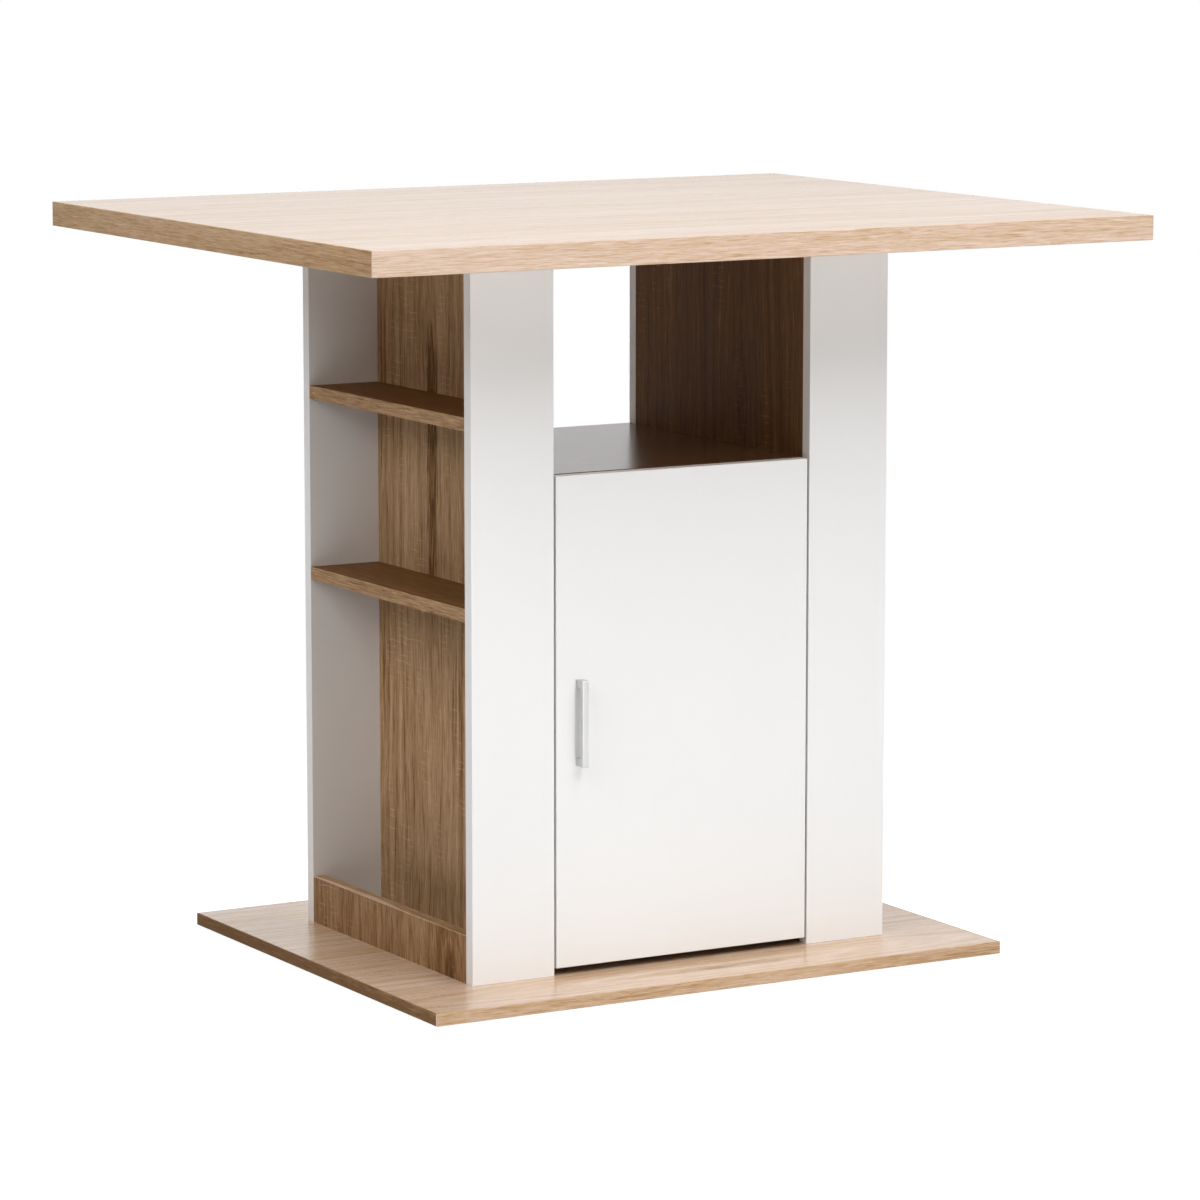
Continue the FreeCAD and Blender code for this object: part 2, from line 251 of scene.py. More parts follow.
class Nodes:
    """The nodes of a material or of the world."""

    def __init__(self, owner):
        owner.use_nodes = True
        self.tree = owner.node_tree
        self.tree.nodes.clear()

    def node(self, kind, settings, sockets, output=0):
        """Add a node: its settings first, then the values or links of its sockets."""
        made = self.tree.nodes.new(kind)
        for key, value in settings.items():
            if key == "stops":
                ramp = made.color_ramp
                while len(ramp.elements) < len(value):
                    ramp.elements.new(1.0)
                for stop, (position, colour) in zip(ramp.elements, value):
                    stop.position = position
                    stop.color = (*colour, 1.0)
            else:
                setattr(made, key, value)
        for key, value in sockets.items():
            if isinstance(value, Value):
                self.tree.links.new(value.socket, made.inputs[key])
            else:
                made.inputs[key].default_value = value
        return Value(self, made.outputs[output] if made.outputs else None)

    def looked_at(self):
        """1 for the camera, reflections and glass, 0 for scattered light."""
        camera, glossy, glass = (self.node("ShaderNodeLightPath", {}, {}, ray)
                                 for ray in ("Is Camera Ray", "Is Glossy Ray", "Is Transmission Ray"))
        return camera.largest(glossy).largest(glass)


class Finish(Nodes):
    """One material, with the directions of its grain."""

    def __init__(self, name, grain="X"):
        self.material = bpy.data.materials.new(name)
        super().__init__(self.material)
        place = self.node("ShaderNodeTexCoord", {}, {}, "Object")
        self.place = self.node("ShaderNodeMapping", {}, {"Vector": place, "Rotation": GRAIN_TURN[grain]})
        self.along, self.across, self.through = (self.node("ShaderNodeSeparateXYZ", {}, {0: self.place}, axis)
                                                 for axis in "XYZ")

    def mark(self, kind, board=0.0, fine=1.0):
        """One kind of mark as noise; each board has its own, and a smaller fine makes it narrower."""
        length, width, detail, roughness, *fade = MARKS[kind]
        spread = (1.0 / length, 1.0 / (width * fine), 1.0 / (width * fine))
        stretched = self.node("ShaderNodeVectorMath", {"operation": "MULTIPLY"}, {0: self.place, 1: spread})
        noise = self.node("ShaderNodeTexNoise", {"noise_dimensions": "4D"},
                          {"Vector": stretched, "W": board, "Scale": 1.0, "Detail": detail,
                           "Roughness": roughness})
        return noise.rise(*fade) if fade else noise

    def sway(self, kind, amount, board):
        """Let the grain wander sideways."""
        drift = self.mark(kind, board).swing() * amount
        move = self.node("ShaderNodeCombineXYZ", {}, {"Y": drift})
        self.place = self.node("ShaderNodeVectorMath", {"operation": "ADD"}, {0: self.place, 1: move})
        self.across = self.across + drift

    def tones(self, value, stops):
        """Colour that follows a value."""
        return self.node("ShaderNodeValToRGB", {"stops": stops}, {"Fac": value})

    def clouded(self, value, colour, shade, span):
        """Colour that goes from a shade of it to the full colour as a value crosses a span."""
        low, high = span
        return self.tones(value, [(low, [part * shade for part in colour]), (high, colour)])

    def close(self, sockets, relief, depth, strength):
        """Close the material with a surface shader and a fine relief."""
        bump = self.node("ShaderNodeBump", {}, {"Height": relief, "Distance": depth, "Strength": strength})
        surface = self.node("ShaderNodeBsdfPrincipled", {}, {**sockets, "Normal": bump})
        self.node("ShaderNodeOutputMaterial", {}, {"Surface": surface})


def dress(finish, *names):
    """Give CAD pieces a finish."""
    for name in names:
        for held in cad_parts[name].material_slots:
            held.material = finish.material


# The kinds of property that the settings use
def colour_setting(name, description, default):
    return bpy.props.FloatVectorProperty(name=name, description=description, subtype="COLOR", size=3, min=0.0,
                                         max=1.0, default=default)


def share_setting(name, description, default):
    return bpy.props.FloatProperty(name=name, description=description, subtype="FACTOR", min=0.0, max=1.0,
                                   default=default)


def length_setting(name, description, default):
    return bpy.props.FloatProperty(name=name, description=description, unit="LENGTH", default=default)


def place_setting(name, description, default):
    return bpy.props.FloatVectorProperty(name=name, description=description, subtype="TRANSLATION",
                                         unit="LENGTH", size=3, default=default)


def angle_setting(name, description, degrees):
    return bpy.props.FloatProperty(name=name, description=description, subtype="ANGLE",
                                   default=math.radians(degrees))


def power_setting(name, description, default):
    return bpy.props.FloatProperty(name=name, description=description, unit="POWER", default=default)


def group_setting(kind, name, description):
    return bpy.props.PointerProperty(type=kind, name=name, description=description)


class OakSettings(bpy.types.PropertyGroup):
    """Tones and sizes of the oak decor"""
    pale: colour_setting("Pale wood", "Lightest tone of the oak decor", (0.76, 0.602, 0.505))
    tan: colour_setting("Tan wood", "Middle tone of the oak decor", (0.55, 0.358, 0.202))
    brown: colour_setting("Brown wood", "Tone of late wood and heart streaks", (0.20, 0.098, 0.033))
    # The darkest tone: real dark streaks reach it, and so does the painted shade of the niche boards
    heartwood_and_shade: colour_setting("Heartwood", "Darkest tone of the oak decor", (0.085, 0.038, 0.012))
    ring: length_setting("Ring spacing", "Distance between growth rings", 0.012)
    saw: length_setting("Saw mark spacing", "Distance between saw marks across the grain", 0.008)
    roughness: share_setting("Decor roughness", "Roughness of the printed boards", 0.50)
    worktop_roughness: share_setting("Worktop roughness", "Roughness of the boards that are wiped", 0.22)


class PlainSettings(bpy.types.PropertyGroup):
    """Tones of the white boards and the plastics"""
    board: colour_setting("White board", "Tone of the white melamine", (0.880, 0.880, 0.877))
    roughness: share_setting("Board roughness", "Roughness of the white melamine", 0.42)
    catch: colour_setting("Catch", "Tone of the catch's plastic", (0.82, 0.82, 0.80))
    catch_roughness: share_setting("Catch roughness", "Roughness of the catch's plastic", 0.4)
    glide: colour_setting("Glides", "Tone of the glides under the base plate", (0.16, 0.155, 0.15))
    glide_roughness: share_setting("Glide roughness", "Roughness of the glides", 0.5)
    magnet: colour_setting("Magnet", "Tone of the catch's ferrite magnet", (0.05, 0.05, 0.05))
    magnet_roughness: share_setting("Magnet roughness", "Roughness of the magnet", 0.6)


class MetalSettings(bpy.types.PropertyGroup):
    """Tones of the handle and the fittings"""
    handle: colour_setting("Handle", "Tone of the satin aluminium", (0.60, 0.60, 0.60))
    handle_roughness: share_setting("Handle roughness", "Roughness of the satin aluminium", 0.3)
    steel: colour_setting("Steel", "Tone of the plated fittings", (0.66, 0.65, 0.63))
    steel_roughness: share_setting("Steel roughness", "Roughness of the plated fittings", 0.28)
    zinc: colour_setting("Dull zinc", "Tone of the strike plate", (0.40, 0.40, 0.39))
    zinc_roughness: share_setting("Zinc roughness", "Roughness of the strike plate", 0.55)


class ScrewSettings(bpy.types.PropertyGroup):
    """Sizes of the screw heads and their recess"""
    recess: share_setting("Recess width", "Width of the cross recess as a share of the screw head", 0.70)
    arm: share_setting("Recess arm", "Width of one arm of the cross as a share of the screw head", 0.14)
    depth: length_setting("Recess depth", "Depth of the cross recess", 0.0011)
    rounding: length_setting("Head rounding", "Rounding of the screw heads", 0.0006)


class StudioSettings(bpy.types.PropertyGroup):
    """Camera, softboxes and floor"""
    eye: place_setting("Camera place", "Where the camera stands", (-3.12397, -5.45659, 1.38251))
    turn: angle_setting("Camera turn", "Turn of the view to the right of straight ahead", 29.8683)
    tilt: angle_setting("Camera tilt", "Tilt of the view below the horizon", 8.6087)
    lens: bpy.props.FloatProperty(name="Lens", description="Focal length of the camera on a 36 mm sensor",
                                  subtype="DISTANCE_CAMERA", default=153.64)
    front_place: place_setting("Front light place", "Middle of the softbox in front", (0.6, -5.0, 0.28))
    front_size: length_setting("Front light size", "Side of the softbox in front", 0.5)
    front_power: power_setting("Front light", "Power of the softbox in front", 53.0)
    top_place: place_setting("Overhead light place", "Middle of the softbox overhead", (0.45, -2.0, 3.15))
    top_size: length_setting("Overhead light size", "Side of the softbox overhead", 2.3)
    top_power: power_setting("Overhead light", "Power of the softbox overhead", 80.0)
    side_place: place_setting("Side light place", "Middle of the softbox on the left", (-2.9, -1.05, 2.75))
    side_size: length_setting("Side light size", "Side of the softbox on the left", 2.2)
    side_power: power_setting("Side light", "Power of the softbox on the left", 66.0)
    rear_place: place_setting("Rear light place", "Middle of the softbox high behind", (-0.6, 2.6, 3.8))
    rear_size: length_setting("Rear light size", "Side of the softbox high behind", 2.4)
    rear_power: power_setting("Rear light", "Power of the softbox high behind", 38.0)
    right_place: place_setting("Right light place", "Middle of the softbox on the right", (3.3, 0.15, 1.7))
    right_size: length_setting("Right light size", "Side of the softbox on the right", 1.8)
    right_power: power_setting("Right light", "Power of the softbox on the right", 32.0)
    back_place: place_setting("Back light place", "Middle of the softbox low behind", (1.9, 9.2, 0.5))
    back_size: length_setting("Back light size", "Side of the softbox low behind", 0.8)
    back_power: power_setting("Back light", "Power of the softbox low behind", 360.0)
    room: share_setting("Room light", "Strength of the even light from all sides", 0.02)
    floor: share_setting("Floor bounce", "Share of the light that the floor throws back", 0.80)


class IslandSettings(bpy.types.PropertyGroup):
    """All settings of the island"""
    oak: group_setting(OakSettings, "Oak", "Oak decor")
    plain: group_setting(PlainSettings, "Plain", "White boards and plastics")
    metal: group_setting(MetalSettings, "Metal", "Handle and fittings")
    screws: group_setting(ScrewSettings, "Screws", "Screw heads")
    studio: group_setting(StudioSettings, "Studio", "Camera, lamps and floor")


def across_piece(name, share):
    """Distance right of the island's middle of a place on a CAD piece: 0 is its left end, 1 its right end."""
    low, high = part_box(name)
    return low.x + (high.x - low.x) * share


def oak_finish(oak, name, grain, board, shade=0.0, heart=None, reach=(0.1, 0.1), rings=0.5, spear=0.0,
               streaks=0.25, saws=0.2, fibres=0.85, fine=1.0, wiped=False, paler_past=None):
    """Light oak decor: growth rings about a heart, fibres, pores, streaks and the marks of a saw.

    board picks the pattern and shade darkens it; on the boards in the bays and the niche, part of that
    darkening is painted shade. heart is the place of the heart along and across the grain, and reach says how
    fast the rings close above and below it. rings, spear, streaks, saws and fibres are the strengths of the
    marks, and fine below 1 makes them narrower. paler_past is a direction and the distance from the island's
    middle past which the board is paler; on the right divider it lifts the bay side out of the painted shade
    of its niche side.
    """
    wood = Finish(name, grain)
    wood.sway("oak_bend", OAK_BEND * fine, board)
    wood.sway("oak_wave", OAK_WAVE * fine, board)
    cloud = wood.mark("oak_cloud", board)
    streak = wood.mark("oak_streak", board, fine)
    fibre = wood.mark("oak_fibre", board, fine)
    pore = wood.mark("oak_pore", board)
    cut = (wood.along / oak.saw + wood.mark("saw_wobble", board)).part()
    saw = (cut.rise(*SAW_START) * (1.0 - cut.rise(*SAW_FADE)) * wood.mark("saw_dash", board)
           * wood.mark("saw_patch", board))
    # shade darkens the whole board; on the boards in the bays and the niche it is partly painted shade
    dark = (PLAIN_OAK + shade + cloud.swing() * CLOUD_DARKENS + fibre.swing() * fibres + streak * streaks
            + pore * PORE_DARKENS - saw * saws)
    if heart is not None:
        radius = heart_distance(wood, heart, reach)
        ring = wood.node("ShaderNodeTexNoise", {"noise_dimensions": "1D"},
                         {"W": radius / oak.ring + board, "Scale": 1.0, "Detail": 2.0, "Roughness": 0.6})
        core = (1.0 - radius.rise(*SPEAR_RADIUS)) * (SPEAR_SOLID + fibre.rise(*SPEAR_FRAY))
        dark = dark + ring.swing() * rings + core * spear
    # Past the plane the board is paler: pale corner lines on edge bands, and the right divider's bay side
    # lifted out of its painted niche shade
    if paler_past is not None:
        direction, plane = paler_past
        dark = dark - getattr(wood, direction).size().rise(plane, plane + PALER_OVER) * PALER_BY
    tones = (oak.pale, oak.tan, oak.brown, oak.heartwood_and_shade)
    colour = wood.tones(dark / DARKEST_OAK, list(zip(TONE_STOPS, tones)))
    rough = oak.worktop_roughness if wiped else oak.roughness
    rough = rough + fibre.swing() * FIBRE_ROUGHENS + pore * PORE_ROUGHENS
    relief = fibre * FIBRE_HEIGHT - pore * PORE_DEPTH + saw * SAW_HEIGHT
    wood.close({"Base Color": colour, "Roughness": rough, "IOR": WIPED_IOR if wiped else PRINTED_IOR}, relief,
               depth=0.0002, strength=0.35)
    return wood


def heart_distance(wood, heart, reach):
    """Distance from the heart's line, which stays small for a long way along the grain."""
    start, line = heart
    above, below = reach
    side = wood.across - line
    upper = (wood.along - start).largest(0.0) * above
    lower = (wood.along - start).smallest(0.0) * below
    return (side * side + upper * upper + lower * lower).root()


def oak_band(oak, name, grain, board, fine=BAND_FINE, **marks):
    """Oak decor of an edge band, which has finer marks and none of a saw."""
    return oak_finish(oak, name, grain, board, saws=0.0, fine=fine, **marks)


def melamine_finish(plain, name):
    """Matt white melamine with a faint pearl texture."""
    white = Finish(name)
    cloud = white.mark("melamine_cloud")
    pearl = white.mark("melamine_pearl")
    colour = white.clouded(cloud.mixed(pearl, share=0.7), plain.board, shade=0.975, span=(0.3, 0.7))
    rough = plain.roughness + pearl.swing() * PEARL_ROUGHENS
    white.close({"Base Color": colour, "Roughness": rough, "IOR": MELAMINE_IOR}, pearl, depth=0.0001,
                strength=0.15)
    return white


def metal_finish(name, bright, roughness, drawn):
    """Metal with a soft cloud and, where it is drawn, fine lines along its length."""
    metal = Finish(name, "Z")
    shine = metal.mark("metal_line").mixed(metal.mark("metal_cloud"), share=drawn)
    colour = metal.clouded(shine, bright, shade=0.90, span=(0.25, 0.75))
    rough = roughness + shine.swing() * SHINE_ROUGHENS
    metal.close({"Base Color": colour, "Roughness": rough, "Metallic": 1.0}, shine, depth=0.00005,
                strength=0.3)
    return metal


def steel_finish(metal, name):
    """Plated steel of the fittings and screws."""
    return metal_finish(name, metal.steel, metal.steel_roughness, drawn=0.1)


def plastic_finish(name, bright, roughness):
    """Moulded plastic with a fine grain."""
    plastic = Finish(name)
    grain = plastic.mark("plastic_grain")
    cloud = plastic.mark("plastic_cloud")
    colour = plastic.clouded(cloud.mixed(grain, share=0.6), bright, shade=0.90, span=(0.3, 0.7))
    rough = roughness + grain.swing() * GRAIN_ROUGHENS
    plastic.close({"Base Color": colour, "Roughness": rough}, grain, depth=0.0001, strength=0.2)
    return plastic


class ISLAND_OT_worktop(bpy.types.Operator):
    """Finish the worktop and its edge bands in oak decor"""
    bl_idname = "island.worktop"
    bl_label = "Worktop"

    def execute(self, context):
        oak = context.scene.island.oak
        corner = across_piece("tabletop_front_band", 1.0) - CORNER_LINE
        dress(oak_finish(oak, "oak_worktop", "X", 1.0, shade=-0.05, heart=(-0.2, 0.05), reach=(0.03, 0.04),
                         rings=0.3, streaks=0.12, saws=0.1, wiped=True),
              "tabletop_board")
        dress(oak_band(oak, "oak_worktop_long_band", "X", 2.0, shade=-0.20, fibres=1.3,
                       paler_past=("along", corner)),
              "tabletop_front_band", "tabletop_rear_band")
        # Partly painted shade: the bands at the worktop's ends are darker than the front and rear bands for
        # the shade on its left end
        dress(oak_band(oak, "oak_worktop_short_band", "Y", 3.0, shade=0.14, streaks=0.18, fibres=1.1),
              "tabletop_left_band", "tabletop_right_band")
        return {"FINISHED"}


class ISLAND_OT_base(bpy.types.Operator):
    """Finish the base plate, its edge bands and its glides"""
    bl_idname = "island.base"
    bl_label = "Base plate"

    def execute(self, context):
        oak = context.scene.island.oak
        plain = context.scene.island.plain
        corner = across_piece("base_front_band", 1.0) - CORNER_LINE
        dress(oak_finish(oak, "oak_base", "X", 4.0, shade=-0.08, heart=(0.05, -0.27), reach=(0.12, 0.09),
                         rings=0.55, spear=0.3, streaks=0.12, wiped=True),
              "base_board")
        dress(oak_band(oak, "oak_base_long_band", "X", 5.0, shade=0.03, fibres=1.3,
                       paler_past=("along", corner)),
              "base_front_band", "base_rear_band")
        # Painted shade: the bands at the base's ends are darkened for the shade at the foot of its left end
        dress(oak_band(oak, "oak_base_short_band", "Y", 6.0, shade=0.55, streaks=0.1, fibres=0.8),
              "base_left_band", "base_right_band")
        dress(plastic_finish("grey_glide", plain.glide, plain.glide_roughness), "floor_glides")
        return {"FINISHED"}


class ISLAND_OT_uprights(bpy.types.Operator):
    """Finish the four uprights in white melamine"""
    bl_idname = "island.uprights"
    bl_label = "White uprights"

    def execute(self, context):
        dress(melamine_finish(context.scene.island.plain, "white_uprights"),
              "front_left_panel", "front_right_panel", "rear_left_panel", "rear_right_panel")
        return {"FINISHED"}


class ISLAND_OT_columns(bpy.types.Operator):
    """Finish the dividers, shelves and plinths of the two columns in oak decor"""
    bl_idname = "island.columns"
    bl_label = "Columns"

    def execute(self, context):
        oak = context.scene.island.oak
        bay_side = across_piece("right_divider", 0.5)
        corner = across_piece("plinth_edge_bands", 1.0) - PLINTH_CORNER_LINE
        # Partly painted shade: the left divider is darker for the shade of its bay as well as for its own
        # tone
        dress(oak_finish(oak, "oak_left_divider", "Z", 7.0, shade=0.27, heart=(0.694, 0.060),
                         reach=(0.16, 0.05), rings=0.42, spear=0.55, streaks=0.33, saws=0.18),
              "left_divider")
        # Painted shade: the whole board is darkened for the shade inside the niche, and its bay side, past
        # the board's middle, is made paler again
        dress(oak_finish(oak, "oak_right_divider", "Z", 8.0, shade=0.66, heart=(0.694, -0.060),
                         reach=(0.16, 0.03), rings=0.55, spear=0.30, streaks=0.18,
                         paler_past=("through", bay_side)),
              "right_divider")
        # Painted shade: the shelves are darkened for the shade that falls on them in the bays
        dress(oak_finish(oak, "oak_shelves", "Y", 9.0, shade=0.66, heart=(0.0, -0.1), reach=(0.05, 0.05),
                         rings=0.3, streaks=0.2, saws=0.1),
              "left_upper_shelf", "left_lower_shelf", "right_upper_shelf", "right_lower_shelf")
        # Partly painted shade: the shelf bands are darkened for the shade of the bays
        dress(oak_band(oak, "oak_shelf_bands", "Y", 10.0, shade=0.27, streaks=0.18, fibres=1.2),
              "shelf_edge_bands")
        # Partly painted shade: the plinth bands are darkened for the shade low in the bays
        dress(oak_band(oak, "oak_plinth_bands", "Y", 13.0, fine=1.0, shade=0.28, streaks=0.2,
                       paler_past=("across", corner)),
              "plinth_edge_bands")
        # Partly painted shade: the plinths are darkened for the shade low in the bays
        dress(oak_finish(oak, "oak_plinths", "Z", 11.0, shade=0.42, heart=(0.03, -0.16), reach=(0.6, 0.6),
                         rings=0.25, spear=0.45, streaks=0.12),
              "left_plinth", "right_plinth")
        return {"FINISHED"}


class ISLAND_OT_cabinet(bpy.types.Operator):
    """Finish the niche floor, the cabinet's back and its loose shelf"""
    bl_idname = "island.cabinet"
    bl_label = "Cabinet"

    def execute(self, context):
        island = context.scene.island
        # Painted shade: the niche floor is darkened for the shade inside the niche
        dress(oak_finish(island.oak, "oak_niche_floor", "X", 12.0, shade=0.85, heart=(0.0, 0.05),
                         reach=(0.05, 0.05), streaks=0.3, saws=0.1, wiped=True),
              "niche_floor")
        dress(melamine_finish(island.plain, "white_cabinet"), "back_panel", "cabinet_shelf")
        dress(steel_finish(island.metal, "steel_shelf_supports"), "cabinet_shelf_supports")
        return {"FINISHED"}


class ISLAND_OT_door(bpy.types.Operator):
    """Finish the door and its bow handle"""
    bl_idname = "island.door"
    bl_label = "Door"

    def execute(self, context):
        metal = context.scene.island.metal
        dress(melamine_finish(context.scene.island.plain, "white_door"), "door")
        dress(metal_finish("satin_aluminium", metal.handle, metal.handle_roughness, drawn=0.7), "handle")
        return {"FINISHED"}


class ISLAND_OT_fittings(bpy.types.Operator):
    """Finish the hinges, the catch, the screws, the cams and the dowels"""
    bl_idname = "island.fittings"
    bl_label = "Fittings"

    def execute(self, context):
        plain = context.scene.island.plain
        metal = context.scene.island.metal
        dress(steel_finish(metal, "plated_steel"),
              "lower_hinge_cup", "lower_hinge_pin", "lower_hinge_arm", "lower_hinge_plate",
              "upper_hinge_cup", "upper_hinge_pin", "upper_hinge_arm", "upper_hinge_plate",
              "base_screws", "cam_bolts", "cam_housings", *SCREW_HEADS)
        dress(metal_finish("dull_zinc", metal.zinc, metal.zinc_roughness, drawn=0.0), "catch_strike_plate")
        dress(plastic_finish("white_plastic", plain.catch, plain.catch_roughness), "catch_housing")
        dress(plastic_finish("ferrite", plain.magnet, plain.magnet_roughness), "catch_magnet")
        dress(oak_finish(context.scene.island.oak, "beech_dowels", "X", 0.0, shade=-0.1, saws=0.0), "dowels")
        return {"FINISHED"}


def select_in(piece, kind, wanted):
    """Select only the wanted faces or vertices of the piece in edit mode."""
    bpy.ops.mesh.select_mode(type="FACE" if kind == "faces" else "VERT")
    bpy.ops.mesh.select_all(action="DESELECT")
    mesh = bmesh.from_edit_mesh(piece.data)
    for element in getattr(mesh, kind):
        if wanted(element):
            element.select_set(True)
    mesh.select_flush_mode()
    bmesh.update_edit_mesh(piece.data)


def driver_tip(settings):
    """Model a screwdriver's tip for a head of width 1: a tapered cross that points down."""
    bpy.ops.object.select_all(action="DESELECT")
    bpy.ops.mesh.primitive_cube_add(size=1.0)
    tip = bpy.context.object
    bpy.ops.object.mode_set(mode="EDIT")
    bpy.ops.transform.resize(value=(settings.arm, settings.arm, settings.depth * 2.0))
    reach = (settings.recess - settings.arm) / 2.0
    near = settings.arm * FACE_FOUND_WITHIN
    for way in (Vector((1, 0, 0)), Vector((-1, 0, 0)), Vector((0, 1, 0)), Vector((0, -1, 0))):
        side = way * settings.arm / 2.0
        select_in(tip, "faces", lambda face: (face.calc_center_median() - side).length < near)
        bpy.ops.mesh.extrude_region_move(TRANSFORM_OT_translate={"value": way * reach})
    select_in(tip, "verts", lambda vertex: vertex.co.z < 0.0)
    bpy.ops.transform.resize(value=(TIP_TAPER, TIP_TAPER, 1.0), center_override=(0.0, 0.0, 0.0))
    bpy.ops.object.mode_set(mode="OBJECT")
    return tip


def loose_screws(name):
    """Copy a CAD group of screws as one merged piece per screw."""
    copy = bpy.data.objects.new(name + "_copy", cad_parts[name].data.copy())
    bpy.context.collection.objects.link(copy)
    bpy.ops.object.select_all(action="DESELECT")
    copy.select_set(True)
    bpy.context.view_layer.objects.active = copy
    bpy.ops.mesh.customdata_custom_splitnormals_clear()
    bpy.ops.object.mode_set(mode="EDIT")
    bpy.ops.mesh.select_all(action="SELECT")
    bpy.ops.mesh.remove_doubles(threshold=MERGE_DISTANCE)
    bpy.ops.mesh.dissolve_limited(angle_limit=FLAT_ANGLE)
    bpy.ops.mesh.separate(type="LOOSE")
    bpy.ops.object.mode_set(mode="OBJECT")
    return sorted(bpy.context.selected_objects, key=lambda screw: screw.name)


def cut_recess(screw, outward, tip, settings):
    """Round a screw's head and press the driver's tip into it."""
    corners = list(zip(*(vertex.co for vertex in screw.data.vertices)))
    low, high = (Vector([pick(axis) for axis in corners]) for pick in (min, max))
    size = high - low
    width = max(side for side, way in zip(size, outward) if not way)
    bit = bpy.data.objects.new("driver_bit", tip.data.copy())
    bpy.context.collection.objects.link(bit)
    bit.location = (low + high) / 2.0 + outward * abs(size.dot(outward)) / 2.0
    bit.rotation_euler = outward.to_track_quat("Z", "Y").to_euler()
    bit.scale = (width, width, 1.0)
    bpy.context.view_layer.objects.active = screw
    rounded = screw.modifiers.new("rounded_head", "BEVEL")
    rounded.width = settings.rounding
    rounded.segments = ROUNDING_STEPS
    rounded.angle_limit = ROUNDED_ANGLE
    bpy.ops.object.modifier_apply(modifier=rounded.name)
    recess = screw.modifiers.new("recess", "BOOLEAN")
    recess.operation = "DIFFERENCE"
    recess.solver = "EXACT"
    recess.object = bit
    bpy.ops.object.modifier_apply(modifier=recess.name)
    bpy.data.objects.remove(bit)


class ISLAND_OT_screws(bpy.types.Operator):
    """Round the screw heads and cut a cross recess into each"""
    bl_idname = "island.screws"
    bl_label = "Screw heads"

    def execute(self, context):
        settings = context.scene.island.screws
        finish = steel_finish(context.scene.island.metal, "screw_steel")
        tip = driver_tip(settings)
        for name, (outward, body) in SCREW_HEADS.items():
            screws = loose_screws(name)
            for screw in screws:
                cut_recess(screw, Vector(outward), tip, settings)
            bpy.ops.object.select_all(action="DESELECT")
            for screw in screws:
                screw.select_set(True)
            piece = screws[0]
            context.view_layer.objects.active = piece
            if len(screws) > 1:
                bpy.ops.object.join()
            bpy.ops.object.shade_smooth_by_angle(angle=SMOOTH_ANGLE)
            piece.name = "cross_recess_" + name
            piece.data.materials.clear()
            piece.data.materials.append(finish.material)
            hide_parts(name)
            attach(piece, body)
        bpy.data.objects.remove(tip)
        return {"FINISHED"}


def add_softbox(place, size, power):
    """Add a square area lamp that looks at the middle of the island."""
    middle = (Vector(cad_box[0]) + Vector(cad_box[1])) / 2.0
    way = middle - Vector(place)
    bpy.ops.object.light_add(type="AREA", location=place, rotation=way.to_track_quat("-Z", "Y").to_euler())
    lamp = bpy.context.object.data
    lamp.shape = "SQUARE"
    lamp.size = size
    lamp.energy = power


def make_floor(studio):
    """Add a floor that looks white, keeps the island's shadow and throws back some light."""
    bpy.ops.object.select_all(action="DESELECT")
    bpy.ops.mesh.primitive_plane_add(size=FLOOR_SIDE, location=(0.0, 0.0, 0.0))
    floor = bpy.context.object
    floor.name = "studio_floor"
    paper = Finish("white_floor")
    distance = (paper.along * paper.along + paper.across * paper.across).root()
    pale = (studio.floor, studio.floor, studio.floor, 1.0)
    bounce = paper.node("ShaderNodeBsdfDiffuse", {}, {"Color": pale})
    lit = paper.node("ShaderNodeBsdfDiffuse", {}, {"Color": FLOOR_GREY})
    glow = paper.node("ShaderNodeEmission", {}, {"Strength": FLOOR_GLOW})
    near = paper.node("ShaderNodeAddShader", {}, {0: lit, 1: glow})
    far = paper.node("ShaderNodeEmission", {}, {"Strength": 1.0})
    shown = paper.node("ShaderNodeMixShader", {}, {0: distance.rise(*FLOOR_FADE), 1: near, 2: far})
    surface = paper.node("ShaderNodeMixShader", {}, {0: paper.looked_at(), 1: bounce, 2: shown})
    paper.node("ShaderNodeOutputMaterial", {}, {"Surface": surface})
    floor.data.materials.append(paper.material)


def make_room(scene, studio):
    """Surround the island with a room that looks white and gives a little even light."""
    scene.world = bpy.data.worlds.new("white_room")
    room = Nodes(scene.world)
    dim = room.node("ShaderNodeBackground", {}, {"Color": WHITE, "Strength": studio.room})
    bright = room.node("ShaderNodeBackground", {}, {"Color": WHITE, "Strength": 1.0})
    walls = room.node("ShaderNodeMixShader", {}, {0: room.looked_at(), 1: dim, 2: bright})
    room.node("ShaderNodeOutputWorld", {}, {"Surface": walls})


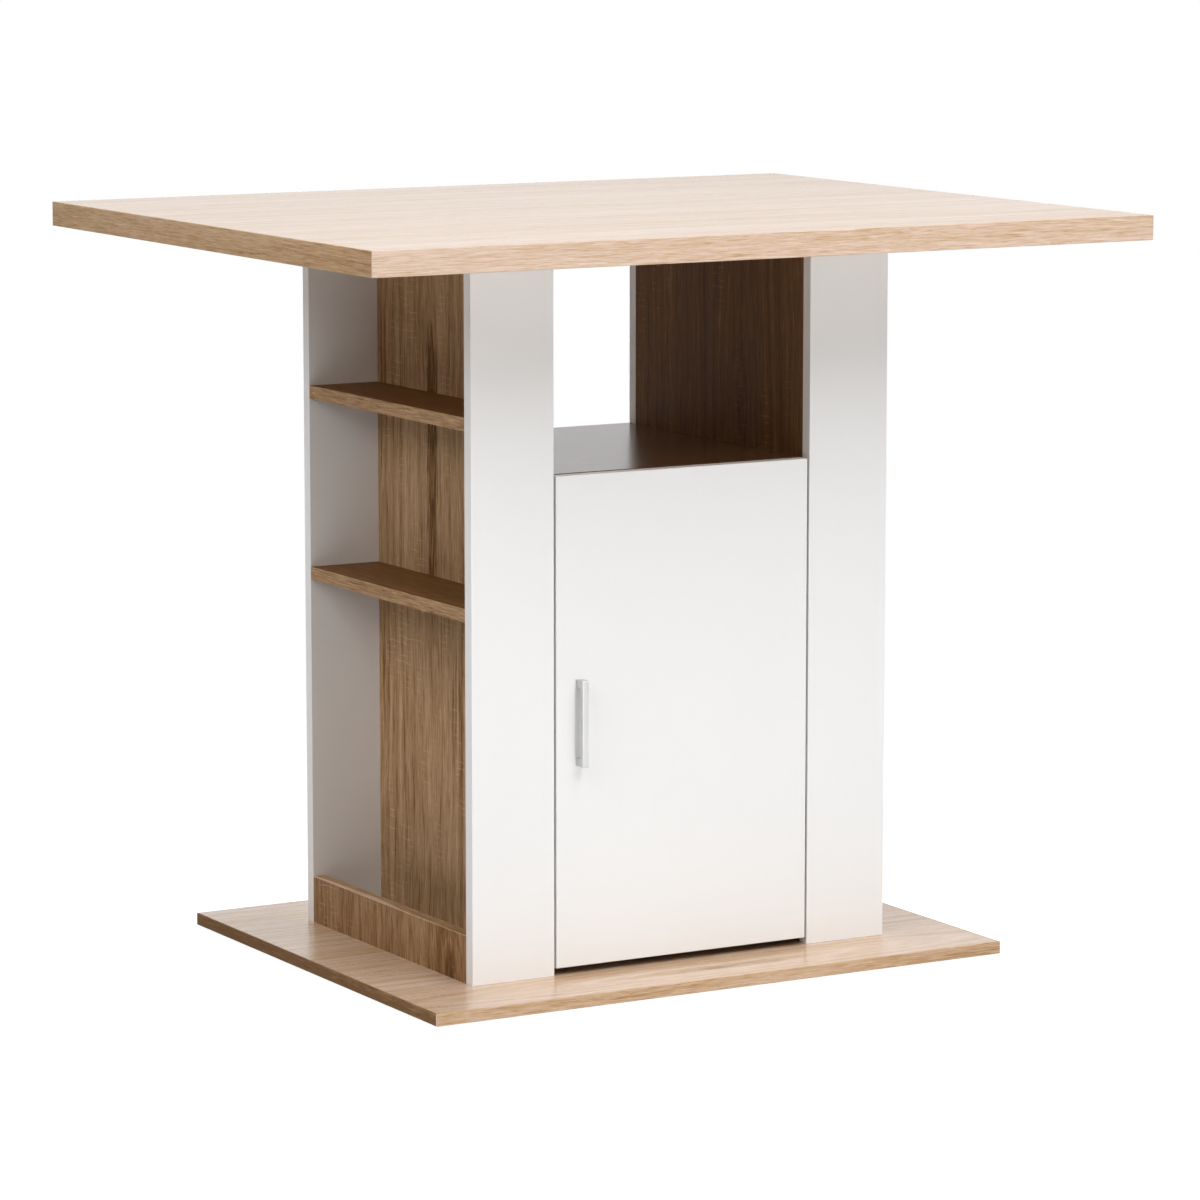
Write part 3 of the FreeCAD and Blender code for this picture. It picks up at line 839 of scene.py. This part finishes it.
def set_camera(scene, studio):
    """Stand the camera where the photograph was taken from."""
    level = math.radians(90)
    bpy.ops.object.camera_add(location=studio.eye, rotation=(level - studio.tilt, 0.0, -studio.turn))
    camera = bpy.context.object
    camera.data.lens = studio.lens
    camera.data.sensor_width = SENSOR_WIDTH
    camera.data.clip_end = VIEW_LIMIT
    scene.camera = camera


class ISLAND_OT_studio(bpy.types.Operator):
    """Set up a white studio with its softboxes and the camera"""
    bl_idname = "island.studio"
    bl_label = "Studio"

    def execute(self, context):
        studio = context.scene.island.studio
        context.scene.view_settings.view_transform = "Standard"
        make_floor(studio)
        make_room(context.scene, studio)
        for softbox in SOFTBOXES:
            place, size, power = (getattr(studio, softbox + value) for value in ("_place", "_size", "_power"))
            add_softbox(place, size, power)
        set_camera(context.scene, studio)
        return {"FINISHED"}


OPERATORS = (ISLAND_OT_worktop, ISLAND_OT_base, ISLAND_OT_uprights, ISLAND_OT_columns, ISLAND_OT_cabinet,
             ISLAND_OT_door, ISLAND_OT_fittings, ISLAND_OT_screws, ISLAND_OT_studio)


class ISLAND_PT_panel(bpy.types.Panel):
    """Settings of the island and the steps that use them"""
    bl_idname = "ISLAND_PT_panel"
    bl_label = "Kitchen island"
    bl_space_type = "VIEW_3D"
    bl_region_type = "UI"
    bl_category = "Island"

    def draw(self, context):
        island = context.scene.island
        for group in (island.oak, island.plain, island.metal, island.screws, island.studio):
            box = self.layout.box()
            for key in group.bl_rna.properties.keys():
                if key not in ("rna_type", "name"):
                    box.prop(group, key)
        for operator in OPERATORS:
            self.layout.operator(operator.bl_idname)


CLASSES = (OakSettings, PlainSettings, MetalSettings, ScrewSettings, StudioSettings, IslandSettings,
           *OPERATORS, ISLAND_PT_panel)


def register():
    for cls in CLASSES:
        bpy.utils.register_class(cls)
    bpy.types.Scene.island = bpy.props.PointerProperty(type=IslandSettings)


def unregister():
    del bpy.types.Scene.island
    for cls in reversed(CLASSES):
        bpy.utils.unregister_class(cls)


def main():
    register()
    bpy.ops.island.worktop()
    bpy.ops.island.base()
    bpy.ops.island.uprights()
    bpy.ops.island.columns()
    bpy.ops.island.cabinet()
    bpy.ops.island.door()
    bpy.ops.island.fittings()
    bpy.ops.island.screws()
    bpy.ops.island.studio()


if __name__ == "__main__":
    main()
